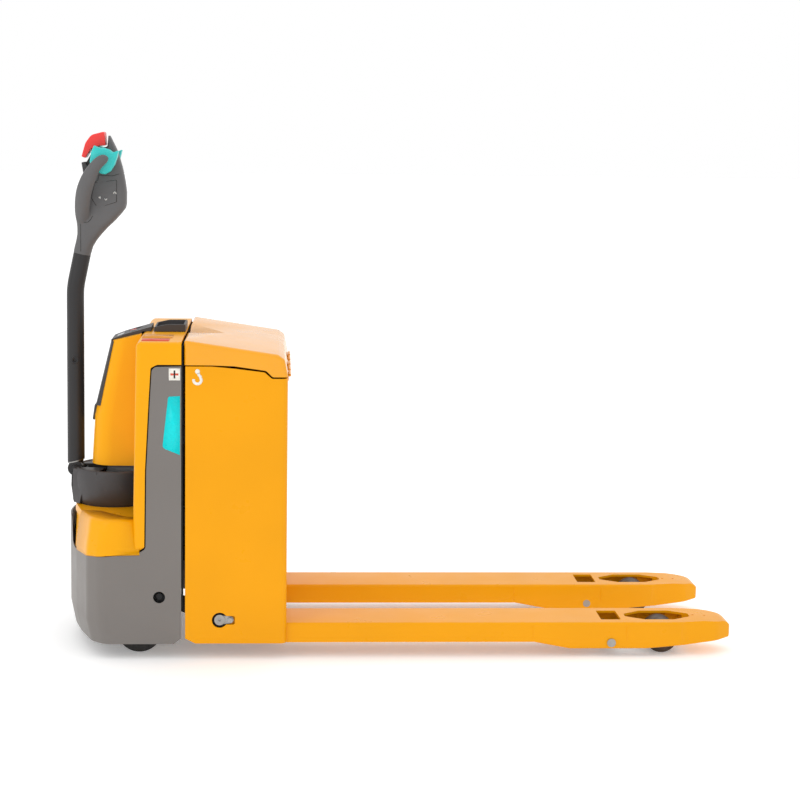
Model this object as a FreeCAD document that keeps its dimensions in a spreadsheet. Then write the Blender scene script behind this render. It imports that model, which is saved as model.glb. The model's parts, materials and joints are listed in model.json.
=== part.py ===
import FreeCAD, Part
import math
import os

from FreeCAD import Placement, Rotation, Vector

# Electric pallet truck with a tiller, in millimetres.
# +X runs along the forks, +Z is up, -Y is the truck's side with the nearer label.
# The origin is on the floor, under the middle of the overall length and width.

SIZES = {
    # stations along the truck
    "apron_front": -859,
    "tractor_rear": -551,
    "box_front": -541,
    "heel": -286,
    "fork_tip": 864,
    # widths, from the centre plane
    "body_half": 285,
    "fork_centre": 195,
    "fork_width": 150,
    # heights
    "fork_top": 90,
    "fork_bottom": 40,
    "box_bottom": 41,
    "box_seam": 746,
    "hood_top": 806,
    # sheet thicknesses
    "sheet": 5,
    "cover": 4,
    # lifting gear
    "lift_stroke": 115,
    "rocker_x": -454,
    "rocker_z": 101,
    "chassis_pin_x": -606,
    "chassis_pin_z": 160,
    "rod_arm": 36.6,
    "rod_z": 65,
    "rod_radius": 9,
    "rod_push": 25.8,
    "yoke_x": 545,
    "yoke_z": 37.5,
    "yoke_lug": 28,
    "load_wheel_x": 683,
    "load_wheel_radius": 42.5,
    "load_wheel_width": 68,
    # steering and drive
    "steer_x": -735,
    "drive_radius": 105,
    "drive_width": 65,
    "neck_radius": 113,
    "castor_x": -660,
    "castor_y": 200,
    "castor_radius": 58,
    "castor_trail": 14,
    "castor_width": 36,
    # tiller
    "tiller_x": -842,
    "tiller_pivot_z": 440,
    "tube_radius": 22.5,
    "head_half": 34,
    "switch_x": -761,
    "switch_z": 1248,
}

doc = FreeCAD.newDocument("PalletTruck")
sheet = doc.addObject("Spreadsheet::Sheet", "Sizes")
for row, (alias, number) in enumerate(SIZES.items(), start=1):
    sheet.set(f"A{row}", alias)
    sheet.set(f"B{row}", str(number))
    sheet.setAlias(f"B{row}", alias)
doc.recompute()

NODES = []
NORMAL = {"XY_Plane": 1, "XZ_Plane": -1, "YZ_Plane": 1}


def size(alias):
    return float(sheet.get(alias))


def node(item, label=None, place=None):
    """Mark an object as a finished sub-part."""
    if label:
        item.Label = label
    if place:
        item.Placement = place
    NODES.append(item)
    return item


def at(x=0.0, y=0.0, z=0.0, axis=(0, 0, 1), angle=0.0):
    return Placement(Vector(x, y, z), Rotation(Vector(*axis), angle))


def outline(*points):
    """Closed polygon; a third number on a point rounds that corner."""
    count = len(points)
    ends = []
    for index, point in enumerate(points):
        corner = Vector(point[0], point[1], 0)
        radius = point[2] if len(point) > 2 else 0
        if not radius:
            ends.append((corner, None, corner))
            continue
        before = Vector(points[index - 1][0], points[index - 1][1], 0)
        after = Vector(points[(index + 1) % count][0], points[(index + 1) % count][1], 0)
        to_before = (before - corner).normalize()
        to_after = (after - corner).normalize()
        half = to_before.getAngle(to_after) / 2
        reach = radius / math.tan(half)
        middle = corner + (to_before + to_after).normalize() * (radius / math.sin(half) - radius)
        ends.append((corner + to_before * reach, middle, corner + to_after * reach))
    curves = []
    for index, (start, middle, end) in enumerate(ends):
        if middle:
            curves.append(Part.Arc(start, middle, end))
        following = ends[(index + 1) % count][0]
        if (following - end).Length > 1e-6:
            curves.append(Part.LineSegment(end, following))
    return curves


def circle(x, y, radius):
    return [Part.Circle(Vector(x, y, 0), Vector(0, 0, 1), radius)]


def rectangle(x0, y0, x1, y1, radius=0):
    return outline((x0, y0, radius), (x1, y0, radius), (x1, y1, radius), (x0, y1, radius))


def new_body(label):
    body = doc.addObject("PartDesign::Body", label)
    body.Label = label
    return body


def sketch(body, role, loops, offset=0.0):
    """Sketch on one of the body's own origin planes, moved along that axis."""
    plane = next(item for item in body.Origin.OriginFeatures if item.Role == role)
    drawing = body.newObject("Sketcher::SketchObject", body.Name + "_sketch")
    drawing.AttachmentSupport = (plane, [""])
    drawing.MapMode = "FlatFace"
    drawing.AttachmentOffset = at(z=offset * NORMAL[role])
    for loop in loops:
        for curve in loop:
            drawing.addGeometry(curve, False)
    return drawing


def pad(body, role, loops, middle, length, kind="PartDesign::Pad"):
    """Extrude loops to both sides of the plane through middle; length is an expression."""
    feature = body.newObject(kind, body.Name + "_feature")
    feature.Profile = sketch(body, role, loops, middle)
    body.Tip = feature
    feature.Midplane = True
    feature.setExpression("Length", length)
    return feature


def pocket(body, role, loops, middle, length):
    return pad(body, role, loops, middle, length, "PartDesign::Pocket")


def prism(label, role, loops, middle, length):
    body = new_body(label)
    pad(body, role, loops, middle, length)
    return body


def turned(label, loop, x=0.0, y=0.0, z=0.0):
    """Solid of revolution about a vertical axis; loop is drawn as radius and height."""
    body = new_body(label)
    feature = body.newObject("PartDesign::Revolution", body.Name + "_turn")
    feature.Profile = sketch(body, "XZ_Plane", [loop])
    feature.ReferenceAxis = (feature.Profile[0], ["V_Axis"])
    feature.Angle = 360
    body.Tip = feature
    body.Placement = at(x, y, z)
    return body


def fillet(body, radius, wanted):
    """Round the edges of the body's last feature that the test accepts."""
    doc.recompute()
    last = body.Tip
    names = [f"Edge{i}" for i, edge in enumerate(last.Shape.Edges, start=1) if wanted(edge)]
    feature = body.newObject("PartDesign::Fillet", body.Name + "_fillet")
    feature.Base = (last, names)
    feature.setExpression("Radius", str(radius))
    body.Tip = feature
    return feature


def cut(label, base, *tools):
    result = doc.addObject("Part::Cut", label)
    result.Base = base
    result.Tool = tools[0] if len(tools) == 1 else fuse(label + "_tools", *tools)
    return result


def fuse(label, *items):
    result = doc.addObject("Part::MultiFuse", label)
    result.Shapes = list(items)
    return result


def group(label, *items):
    """Separate solids that share one sub-part."""
    result = doc.addObject("Part::Compound", label)
    result.Links = list(items)
    return result


def cylinder(label, radius, length, place):
    rod = doc.addObject("Part::Cylinder", label)
    rod.setExpression("Radius", str(radius))
    rod.setExpression("Height", str(length))
    rod.Placement = place
    return rod


def cross_rod(label, radius, length, x, y, z):
    """Cylinder along Y, centred on y."""
    place = Placement(Vector(x, y, z), Rotation(Vector(1, 0, 0), 90))
    rod = cylinder(label, radius, length, place)
    rod.Placement.Base = Vector(x, y + length / 2, z)
    return rod


def upright(label, radius, length, x, y, z):
    return cylinder(label, radius, length, at(x, y, z))


def block(label, x0, x1, y0, y1, z0, z1):
    box = doc.addObject("Part::Box", label)
    box.setExpression("Length", str(x1 - x0))
    box.setExpression("Width", str(y1 - y0))
    box.setExpression("Height", str(z1 - z0))
    box.Placement = at(x0, y0, z0)
    return box


def along_x(edge):
    direction = edge.Vertexes[-1].Point - edge.Vertexes[0].Point
    return abs(direction.x) > 0.9 * max(direction.Length, 1e-6)


def along_z(edge):
    direction = edge.Vertexes[-1].Point - edge.Vertexes[0].Point
    return abs(direction.z) > 0.9 * max(direction.Length, 1e-6)


# ---------------------------------------------------------------- load frame

def battery_box():
    """Welded box: open top, open underside, notched where the forks leave it."""
    front = size("box_front")
    rear = size("heel")
    bottom = size("box_bottom")
    seam = size("box_seam")
    wall = size("sheet")
    half = size("body_half")
    fork_in = size("fork_centre") - size("fork_width") / 2
    fork_out = size("fork_centre") + size("fork_width") / 2
    body = new_body("box_shell")
    side = outline(
        (front, bottom + 13), (front + 26, bottom, 6), (rear, bottom), (rear, seam - 30),
        (-326, seam - 30, 6), (-344, seam - 14, 10), (-419, seam - 5, 60), (-474, seam, 60), (front, seam),
    )
    pad(body, "XZ_Plane", [side], 0, "2 * Sizes.body_half")
    fillet(body, 14, lambda edge: along_z(edge) and edge.CenterOfMass.x > rear - 1)
    inside = rectangle(front + wall, wall - half, rear - wall, half - wall, 9)
    pocket(body, "XY_Plane", [inside], 400, "900")
    for side_sign in (1, -1):
        low, high = sorted((side_sign * fork_in, side_sign * fork_out))
        pocket(body, "YZ_Plane", [rectangle(low, 0, high, size("fork_top"))], rear, "30")
    x, z = size("rocker_x"), size("rocker_z")
    hole = circle(x, z, 19.5)
    slot = rectangle(x + 12, z - 11, x + 38, z + 11, 4)
    pocket(body, "XZ_Plane", [hole], 0, "600")
    pocket(body, "XZ_Plane", [slot], 0, "600")
    arm_slot_half = 8
    for side_sign in (1, -1):
        middle = side_sign * 256
        window = rectangle(middle - arm_slot_half, 42, middle + arm_slot_half, 160)
        pocket(body, "YZ_Plane", [window], front, "30")
    brackets = [rocker_bracket(side_sign) for side_sign in (1, -1)]
    return node(fuse("battery_box", body, *box_floor(), *brackets, *lift_bracket()))


def box_floor():
    """Plate that carries the battery, with the two turned lips along the bottom of the box."""
    front = size("box_front") + size("sheet")
    rear = size("heel") - size("sheet")
    half = size("body_half") - size("sheet")
    plate = block("battery_floor_plate", front, rear, -half, half, 162, 168)
    lips = []
    for side_sign in (1, -1):
        low, high = sorted((side_sign * half, side_sign * (half - 14)))
        bottom = size("box_bottom")
        lips.append(block(f"box_lip_{len(lips)}", -513, -325, low, high, bottom + 2, bottom + 5))
    return [plate, *lips]


def rocker_bracket(side_sign):
    """Plate that hangs from the floor and carries one of the rocker's pivot pins."""
    x, z = size("rocker_x"), size("rocker_z")
    name = "left" if side_sign > 0 else "right"
    low, high = sorted((side_sign * 265, side_sign * 275.5))
    plate = block(f"bracket_{name}_plate", x - 60, x + 60, low, high, 60, 164)
    hole = cross_rod(f"bracket_{name}_hole", 13.75, 30, x, side_sign * 270, z)
    return cut(f"bracket_{name}", plate, hole)


def lift_bracket():
    """Shelf on the front of the box that the cylinder rod pushes on."""
    front = size("box_front")
    plate = block("lift_bracket_plate", -607, front + 1, -40, 40, 630, 642)
    corner = outline((front + 1, 641), (-570, 641), (front + 1, 700))
    web = prism("lift_bracket_web", "XZ_Plane", [corner], 0, "8")
    return [plate, web]


def fork(label, side_sign):
    """Channel fork: cover sheet, two side sheets that deepen at the wheel, and a solid nose."""
    heel = size("heel")
    tip = size("fork_tip")
    top = size("fork_top")
    bottom = size("fork_bottom")
    half = size("fork_width") / 2
    body = new_body(label)
    side = outline(
        (heel, bottom), (337, bottom), (439, 21, 30), (640, 21, 80), (718, 28, 80), (780, 34, 60),
        (tip - 4, bottom + 1, 4), (tip, 66, 18), (tip - 12, 84, 30), (790, top, 60), (heel, top),
    )
    pad(body, "XZ_Plane", [side], 0, "Sizes.fork_width")
    fillet(body, 7, lambda edge: edge.BoundBox.ZMin > top - 1 and abs(abs(edge.CenterOfMass.y) - half) < 1)
    wide, narrow = half - 6, 55
    inside = outline(
        (heel - 10, -wide), (698, -wide), (710, -narrow), (746, -narrow),
        (746, narrow), (710, narrow), (698, wide), (heel - 10, wide),
    )
    pocket(body, "XY_Plane", [inside], (top - 6) / 2, f"{top - 6}")
    for direction in (1, -1):
        waste = outline(
            (696, direction * (half + 2)), (tip + 5, direction * (half + 2)), (tip + 5, 0),
            (tip, 0), (tip - 2, direction * 26, 20), (tip - 43, direction * 55, 50),
            (696, direction * half, 60),
        )
        pocket(body, "XY_Plane", [waste], 60, "120")
    window = rectangle(523, -43, 574, 43, 3)
    opening = outline(
        (590, -12, 8), (590, 12, 8), (636, 43, 14), (712, 43, 14),
        (759, 14, 8), (759, -14, 8), (712, -43, 14), (636, -43, 14),
    )
    pocket(body, "XY_Plane", [window], top, "30")
    pocket(body, "XY_Plane", [opening], top, "60")
    pocket(body, "XY_Plane", [circle(x, 0, 3.5) for x in (769, 799, 830)], top, "6")
    pin_hole = circle(size("yoke_x"), size("yoke_z"), 10.02)
    pocket(body, "XZ_Plane", [pin_hole], 0, "200")
    body.Placement = at(y=side_sign * size("fork_centre"))
    return node(body)


def battery_lid():
    """Pressed lid that slopes to the rear, hinged there, with a pinched grip in its front edge."""
    front = size("box_front") - 3
    rear = size("heel")
    wall = 3
    seam = size("box_seam") + 3
    half = size("body_half") + 1
    outer = new_body("lid_outer")
    side = outline(
        (front, seam), (front, 811, 5), (-311, 776, 16), (rear - 8, 764, 14), (rear, 720), (-324, 720, 6),
        (-341, seam - 13, 10), (-419, seam - 2, 60), (-474, seam, 60),
    )
    pad(outer, "XZ_Plane", [side], 0, f"{2 * half}")
    fillet(outer, 9, lambda edge: edge.CenterOfMass.z > 768 and abs(abs(edge.CenterOfMass.y) - half) < 1)
    inner = outline(
        (front + wall, 690), (front + wall, 807), (-313, 773, 14), (rear - 11, 760, 12), (rear - wall, 690),
    )
    hollow = prism("lid_hollow", "XZ_Plane", [inner], 0, f"{2 * (half - wall)}")
    inside = cut("lid_inside", hollow, grip_dip("lid_grip_under", 3.2))
    node(cut("battery_lid", outer, grip_dip("lid_grip", 0), inside))


def grip_dip(label, below):
    """Wedge that pinches the lid's front edge down to a valley; below lowers it for the under side."""
    front = size("box_front") - 5
    spread = below * 127 / 27
    mouth = outline((-127 - spread, 813), (127 + spread, 813), (0, 786 - below))
    point = outline((-9 - spread, 799), (9 + spread, 799), (0, 797.1 - below))
    return lofted(label, [(mouth, front), (point, -450 + below)], "YZ_Plane")


def lid_hinge():
    """Pin of the slim rear hinge and the box's three knuckles; the lid's two knuckles turn on the pin."""
    x, z = hinge_line()
    pin = cross_rod("lid_hinge_pin", 1.8, 470, x, 0, z)
    knuckles = [hinge_knuckle(f"box_knuckle_{i}", y, -1) for i, y in enumerate((-200, 0, 200))]
    node(group("lid_hinge_base", pin, *knuckles))
    leaves = [hinge_knuckle(f"lid_knuckle_{i}", y, 1) for i, y in enumerate((-100, 100))]
    node(group("lid_hinge_leaves", *leaves))


def hinge_line():
    return size("heel") + 4.2, 718


def hinge_knuckle(label, y, up):
    x, z = hinge_line()
    barrel = cross_rod(label + "_barrel", 3.6, 60, x, y, z)
    low, high = sorted((z, z + up * 14))
    leaf = block(label + "_leaf", size("heel") + 0.2, size("heel") + 1.8, y - 30, y + 30, low, high)
    bore = cross_rod(label + "_bore", 1.85, 62, x, y, z)
    return cut(label, fuse(label + "_blank", barrel, leaf), bore)


def battery():
    """Steel trough, twelve cells with their caps, and the connector housing."""
    front = size("box_front") + 14
    rear = size("heel") - 14
    half = 268
    outer = block("case_outer", front, rear, -half, half, 168.5, 640)
    inner = block("case_inner", front + 4, rear - 4, 4 - half, half - 4, 173, 650)
    node(cut("battery_case", outer, inner))
    cells = []
    columns = 6
    pitch_y = 2 * (half - 4) / columns
    pitch_x = (rear - front - 8) / 2
    for column in range(columns):
        for line in range(2):
            x0 = front + 4 + line * pitch_x
            y0 = 4 - half + column * pitch_y
            name = f"cell_{column}_{line}"
            jar = block(name + "_jar", x0 + 1, x0 + pitch_x - 1, y0 + 1, y0 + pitch_y - 1, 173.5, 628)
            cap = upright(name + "_cap", 14, 14, x0 + pitch_x / 2, y0 + pitch_y / 2, 628)
            cells.append(fuse(name, jar, cap))
    node(group("battery_cells", *cells))
    shell = prism("battery_connector", "XZ_Plane", [rectangle(-520, 642, -470, 690, 5)], 0, "110")
    pocket(shell, "YZ_Plane", [rectangle(-30, 652, -8, 680, 3), rectangle(8, 652, 30, 680, 3)], -470, "40")
    shell.Placement = at(y=-60)
    node(shell)


def rocker_shaft():
    """Torsion shaft: tube, two front arms with the chassis pins and two lower arms for the push rods.

    The chassis pins slide a little along the chassis slots as the load frame rises.
    """
    x, z = size("rocker_x"), size("rocker_z")
    pin_x, pin_z = size("chassis_pin_x"), size("chassis_pin_z")
    tube = cross_rod("rocker_tube", 24, 524, x, 0, z)
    bore = cross_rod("rocker_bore", 13.76, 530, x, 0, z)
    half_swing = rocker_half_swing()
    arms = []
    for side_sign in (1, -1):
        y = side_sign * 256
        arms.append(bar(f"front_arm_{side_sign}", (x, z), (pin_x, pin_z), 26, 15, y, 11))
        arms.append(cross_rod(f"chassis_pin_{side_sign}", 8, 25, pin_x, side_sign * 262.5, pin_z))
        rod_pin = lever_end((x, z), size("rod_arm"), -90 - half_swing)
        y = side_sign * size("fork_centre")
        arms.append(bar(f"lower_arm_{side_sign}", (x, z), rod_pin, 26, 9, y, 10))
        arms.append(cross_rod(f"lower_pin_{side_sign}", 5, 34, rod_pin[0], y, rod_pin[1]))
    node(cut("rocker_shaft", fuse("rocker_blank", tube, *arms), bore))


def rocker_half_swing():
    """Half of the rocker's swing in degrees; its front arm is level at half lift."""
    reach = math.hypot(size("chassis_pin_x") - size("rocker_x"), size("chassis_pin_z") - size("rocker_z"))
    return math.degrees(math.asin(size("lift_stroke") / 2 / reach))


def yoke_half_swing():
    """Half of the wheel yoke's swing in degrees, from how far the rod pushes its lug."""
    return math.degrees(math.asin(size("rod_push") / 2 / size("yoke_lug")))


def lever_end(pivot, reach, angle):
    turn = math.radians(angle)
    return (pivot[0] + reach * math.cos(turn), pivot[1] + reach * math.sin(turn))


def bar(label, start, end, start_radius, end_radius, y, thickness):
    """Flat bar with round ends, in a plane square to Y."""
    body = new_body(label)
    along = Vector(end[0] - start[0], end[1] - start[1], 0)
    across = Vector(-along.y, along.x, 0).normalize()
    first, last = Vector(*start, 0), Vector(*end, 0)
    corners = [first + across * start_radius, first - across * start_radius]
    corners += [last - across * end_radius, last + across * end_radius]
    pad(body, "XZ_Plane", [outline(*[(p.x, p.y) for p in corners])], 0, str(thickness))
    body.Placement = at(y=y)
    ends = [
        cross_rod(label + "_start", start_radius, thickness, start[0], y, start[1]),
        cross_rod(label + "_end", end_radius, thickness, end[0], y, end[1]),
    ]
    return fuse(label + "_bar", body, *ends)


def rocker_pins():
    """Pivot pins with keeper tabs, and the bolts that hold the tabs."""
    x, z = size("rocker_x"), size("rocker_z")
    pins, bolts = [], []
    for side_sign in (1, -1):
        name = "left" if side_sign > 0 else "right"
        rod = cross_rod(f"pin_{name}_rod", 13.7, 74, x, side_sign * 245.5, z)
        tab_y = side_sign * 278.5
        tab = bar(f"pin_{name}_tab", (x, z), (x + 26, z), 12, 9, tab_y, 4)
        dimple = cross_rod(f"pin_{name}_dimple", 3, 6, x, side_sign * 282.5, z)
        pins.append(cut(f"pin_{name}", fuse(f"pin_{name}_blank", rod, tab), dimple))
        bolts.append(cross_rod(f"keeper_{name}_bolt", 6.5, 4.5, x + 26, side_sign * 282.8, z))
    node(group("rocker_pins", *pins, *bolts))


def push_rod(label, side_sign):
    """Round rod with flat forked ends; each end has an upright slot for its lever pin."""
    y = side_sign * size("fork_centre")
    z = size("rod_z")
    start = lever_end((size("rocker_x"), size("rocker_z")), size("rod_arm"), -90 - rocker_half_swing())
    end = lever_end((size("yoke_x"), size("yoke_z")), size("yoke_lug"), 90 + yoke_half_swing())
    length = end[0] - start[0] - 64
    shaft = cylinder(label + "_shaft", "Sizes.rod_radius", length, at(start[0] + 32, y, z, (0, 1, 0), 90))
    ends = []
    for index, (x, pin_z, direction) in enumerate(((start[0], start[1], 1), (end[0], end[1], -1))):
        cheek = prism(f"{label}_fork_{index}", "XZ_Plane", [fork_end(x, z, direction)], 0, "30")
        pocket(cheek, "XY_Plane", [fork_gap(x, direction)], z, "60")
        pin_slot = rectangle(x - 5.4, min(pin_z, z) - 7, x + 5.4, max(pin_z, z) + 7, 5.3)
        pocket(cheek, "XZ_Plane", [pin_slot], 0, "60")
        cheek.Placement = at(y=y)
        ends.append(cheek)
    node(fuse(label, shaft, *ends))


def fork_end(x, z, direction):
    x0, x1 = sorted((x - direction * 11, x + direction * 36))
    return rectangle(x0, z - 11, x1, z + 11, 5)


def fork_gap(x, direction):
    x0, x1 = sorted((x - direction * 16, x + direction * 28))
    return rectangle(x0, -6, x1, 6)


def wheel_yoke(label, side_sign):
    """Two cheeks from the fork pin to the wheel axle, a sleeve and the lug that the rod pushes."""
    y = side_sign * size("fork_centre")
    pivot = (size("yoke_x"), size("yoke_z"))
    axle = (size("load_wheel_x"), size("load_wheel_radius"))
    lug_pin = lever_end(pivot, size("yoke_lug"), 90 + yoke_half_swing())
    cheeks = [
        bar(f"{label}_cheek_{i}", pivot, axle, 15, 13, y + offset, 7) for i, offset in enumerate((-42, 42))
    ]
    sleeve = cross_rod(label + "_sleeve", 14, 91, pivot[0], y, pivot[1])
    lug = bar(label + "_lug", pivot, lug_pin, 14, 8, y, 10)
    pin = cross_rod(label + "_lug_pin", 5, 34, lug_pin[0], y, lug_pin[1])
    bore = cross_rod(label + "_bore", 10.06, 110, pivot[0], y, pivot[1])
    axle_rod = cross_rod(label + "_axle", 8, 91, axle[0], y, axle[1])
    node(cut(label, fuse(label + "_blank", *cheeks, sleeve, lug, pin, axle_rod), bore))


def yoke_pins():
    """Headed pins through the fork sides, one in each fork."""
    x, z = size("yoke_x"), size("yoke_z")
    pins = []
    for side_sign in (1, -1):
        head = cross_rod(f"yoke_pin_head_{side_sign}", 11, 3, x, side_sign * 271.5, z)
        shank = cross_rod(f"yoke_pin_shank_{side_sign}", 10, 150, x, side_sign * size("fork_centre"), z)
        pins.append(fuse(f"yoke_pin_{side_sign}", shank, head))
    node(group("yoke_pins", *pins))


def load_wheel(label, side_sign):
    """Polyurethane tyre on a steel hub."""
    y = side_sign * size("fork_centre")
    x, z = size("load_wheel_x"), size("load_wheel_radius")
    tyre = prism(label + "_tyre", "XZ_Plane", [circle(x, z, z)], 0, "Sizes.load_wheel_width")
    fillet(tyre, 3, lambda edge: edge.Length > 200)
    pocket(tyre, "XZ_Plane", [circle(x, z, 27)], 0, "100")
    tyre.Placement = at(y=y)
    node(tyre)
    hub = cross_rod(label + "_hub_disc", 27, 70, x, y, z)
    bore = cross_rod(label + "_hub_bore", 8.06, 80, x, y, z)
    node(cut(label + "_hub", hub, bore))


def lift_cylinder():
    """Single-acting cylinder: barrel on the chassis, rod and its bracket on the load frame."""
    x = -585
    barrel = upright("barrel_outer", 30, 246, x, 0, 268)
    bore = upright("barrel_bore", 15.05, 240, x, 0, 286)
    node(cut("lift_cylinder_barrel", barrel, bore))
    node(upright("lift_cylinder_rod", 15, 340, x, 0, 290))


def guide_shoes():
    """Shoes on the load frame that run on the chassis rails."""
    shoes = []
    for side_sign in (1, -1):
        y = side_sign * 206
        for z in (330, 540):
            name = f"shoe_{side_sign}_{z}"
            shoe = block(name + "_block", -610, size("box_front"), y - 17, y + 17, z, z + 44)
            groove = block(name + "_groove", -620, -579.5, y - 6.5, y + 6.5, z - 1, z + 45)
            shoes.append(cut(name, shoe, groove))
    node(group("guide_shoes", *shoes))


# ------------------------------------------------------------------- tractor

def tractor_plan(inset, lead=0.0):
    """Plan outline of the tractor's lower cover; lead moves the nose back from the apron front."""
    half = size("body_half") - inset
    nose = size("apron_front") + inset + lead
    return outline(
        (size("tractor_rear"), -half), (size("tractor_rear"), half), (nose + 104, half, 42),
        (nose + 68, half - 35, 42), (nose + 32, 148, 160), (nose - 7, 0, 320), (nose + 32, -148, 160),
        (nose + 68, 35 - half, 42), (nose + 104, -half, 42),
    )


def lofted(label, sections, role="XY_Plane"):
    """Loft between flat sections, each a list of curves with its distance along the plane's axis."""
    body = new_body(label)
    drawings = [sketch(body, role, [curves], distance) for curves, distance in sections]
    feature = body.newObject("PartDesign::AdditiveLoft", label + "_loft")
    feature.Profile = drawings[0]
    feature.Sections = drawings[1:]
    feature.Ruled = True
    body.Tip = feature
    return body


def apron():
    """Grey sheet that wraps the nose and rises into the two side panels."""
    rear = size("tractor_rear")
    cover = size("cover")
    outer = lofted("apron_outer", [(tractor_plan(3, 9), 39), (tractor_plan(0), 97)])
    pad(outer, "XY_Plane", [tractor_plan(0)], 425, "656")
    hollow = lofted("apron_hollow", [(tractor_plan(cover + 3, 9), 38), (tractor_plan(cover), 97)])
    pad(hollow, "XY_Plane", [tractor_plan(cover)], 425, "658")
    open_rear = block("apron_open_rear", rear - 12, rear + 1, -270, 270, 30, 760)
    edge = outline(
        (-870, 326), (-845, 326, 4), (-840, 249, 12), (-785, 260, 90), (-659, 271, 60),
        (-640, 284, 12), (-638, 482), (-629, 658, 60), (-624, 744, 14), (rear, 746),
        (rear, 54), (rear - 12, 44, 8), (rear - 30, 30), (-870, 30),
    )
    keep = prism("apron_keep", "XZ_Plane", [edge], 0, "2 * Sizes.body_half + 20")
    sheet_shape = cut("apron_sheet", outer, hollow, open_rear)
    wrapped = doc.addObject("Part::Common", "apron_wrap")
    wrapped.Base = sheet_shape
    wrapped.Tool = keep
    holes = cross_rod("apron_holes", 15, 600, size("chassis_pin_x"), 0, size("chassis_pin_z"))
    node(cut("apron", wrapped, holes))


def hood():
    """Yellow moulding: wings above the side panels, pillars in front of them, and the lower cover."""
    rear = size("tractor_rear")
    top = size("hood_top")
    half = size("body_half") + 2
    upper = new_body("hood_upper")
    side = outline(
        (-664, top, 14), (rear, top), (rear, 750), (-611, 750, 14), (-627, 742, 8),
        (-632, 658, 60), (-641, 482), (-643, 289), (-660, 277), (-672, 275), (-671, 390),
    )
    pad(upper, "XZ_Plane", [side], 0, f"{2 * half}")
    fillet(upper, 15, lambda e: abs(abs(e.CenterOfMass.y) - half) < 1
           and (e.CenterOfMass.z > top - 4 or e.CenterOfMass.x < -663))
    inside = rectangle(-658, 6 - half, rear + 10, half - 6)
    pocket(upper, "XY_Plane", [inside], 500, "600")
    pocket(upper, "YZ_Plane", [rectangle(-262, 200, 262, 480, 14)], -664, "60")
    pocket(upper, "YZ_Plane", [rectangle(-80.3, 456.5, 80.3, 796)], -664, "60")
    lower = lofted("hood_lower", [(tractor_plan(-1, 3), 247), (tractor_plan(13, 2), 352)])
    lower_hollow = lofted("hood_lower_hollow", [(tractor_plan(4, 3), 246), (tractor_plan(18, 2), 346.5)])
    rear_cut = block("hood_lower_rear", -643, rear + 5, -300, 300, 240, 360)
    middle = block("hood_lower_gap", -659, -640, -262, 262, 240, 345)
    neck = upright("hood_neck_opening", 104, 60, size("steer_x"), 0, 310)
    edge = outline(
        (-880, 240), (-880, 253), (-840, 253, 12), (-785, 264, 90), (-659, 275, 60),
        (-640, 290), (-640, 240),
    )
    skirt = prism("hood_lower_skirt", "XZ_Plane", [edge], 0, "620")
    front = block("hood_lower_front", -870, -832, -146, 146, 240, 335)
    tools = (lower_hollow, rear_cut, middle, neck, skirt, front)
    node(fuse("hood", upper, cut("hood_lower_cover", lower, *tools)))


def nose():
    """Narrow yellow front of the hood; the tiller tube swings round it."""
    outer = lofted("nose_outer", nose_sections(0))
    room = cut("nose_room", lofted("nose_inner", nose_sections(-4)), above_slope("nose_roof", 4))
    well = block("nose_well", -709.3, -660, -52.3, 52.3, 770, 815)
    node(cut("nose", outer, room, above_slope("nose_slope", 0), well))


def above_slope(label, below):
    """Everything over the nose's sloping top, or over a plane that much below it."""
    low, high = 778.5 - below, 802.4 - below
    above = outline((-760, low), (-664, high), (-650, high), (-650, 830), (-760, 830))
    return prism(label, "XZ_Plane", [above], 0, "200")


def nose_sections(grow):
    """Sections of the nose, larger by grow on every side but the rear; a hollow is open at both ends."""
    half = 80 + grow
    low = 450 if grow < 0 else 457
    return [
        (nose_plan(-797 - grow, half, 57 + grow), low), (nose_plan(-789 - grow, half, 54 + grow), 585),
        (nose_plan(-735.3 - grow, half, 37 + grow), 806),
    ]


def nose_plan(front, half, radius):
    rear = -664.3
    return outline((rear, -half), (rear, half), (front, half, radius), (front, -half, radius))


def console():
    """Sloping instrument cover with the well that holds the controls, the clip and the storage tray."""
    half = 52
    body = new_body("console")
    side = outline(
        (-746, 782.3), (-743, 786, 3), (-712, 798, 60), (-645, 817.5, 3), (-641, 817.5), (-641, 806.3),
        (-665.2, 806.3), (-665.2, 780, 4), (-709, 780, 4), (-709, 791.5),
    )
    pad(body, "XZ_Plane", [side], 0, f"{2 * half}")
    pocket(body, "XY_Plane", [circle(*stop_place(), 18.5), circle(*key_place(), 11)], 807.5, "40")
    window = outline((-733, 793), (-733, 788.3), (-715, 795.2), (-715, 800))
    pocket(body, "XZ_Plane", [window], 0, "44")
    node(body)
    clip = outline((-783, 611.5), (-790, 611.5, 4), (-796, 570, 4), (-790.5, 570), (-789.3, 585))
    node(group("console_strip", front_strip(), prism("front_clip", "XZ_Plane", [clip], 0, "60")))
    tray = prism("storage_tray", "XZ_Plane", [outline((-633.5, 806.3), (-633.5, 818.5, 3), (-600, 826, 60),
                 (-552, 826, 3), (-552, 806.3))], 0, "116")
    pocket(tray, "XY_Plane", [rectangle(-628, -53, -557, 53, 6)], 828, "34")
    node(tray)


def stop_place():
    return -686.5, 26


def key_place():
    return -686, -28


def front_strip():
    """Dark strip that lies on the nose from the console down to the clip."""
    outer = lofted("strip_outer", nose_sections(4))
    inner = lofted("strip_inner", nose_sections(0.2))
    keep = outline((-735, 781), (-800, 781), (-800, 612), (-740, 612))
    band = doc.addObject("Part::Common", "strip_band")
    band.Base = cut("strip_shell", outer, inner)
    band.Tool = prism("strip_keep", "XZ_Plane", [keep], 0, "120")
    return band


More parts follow.
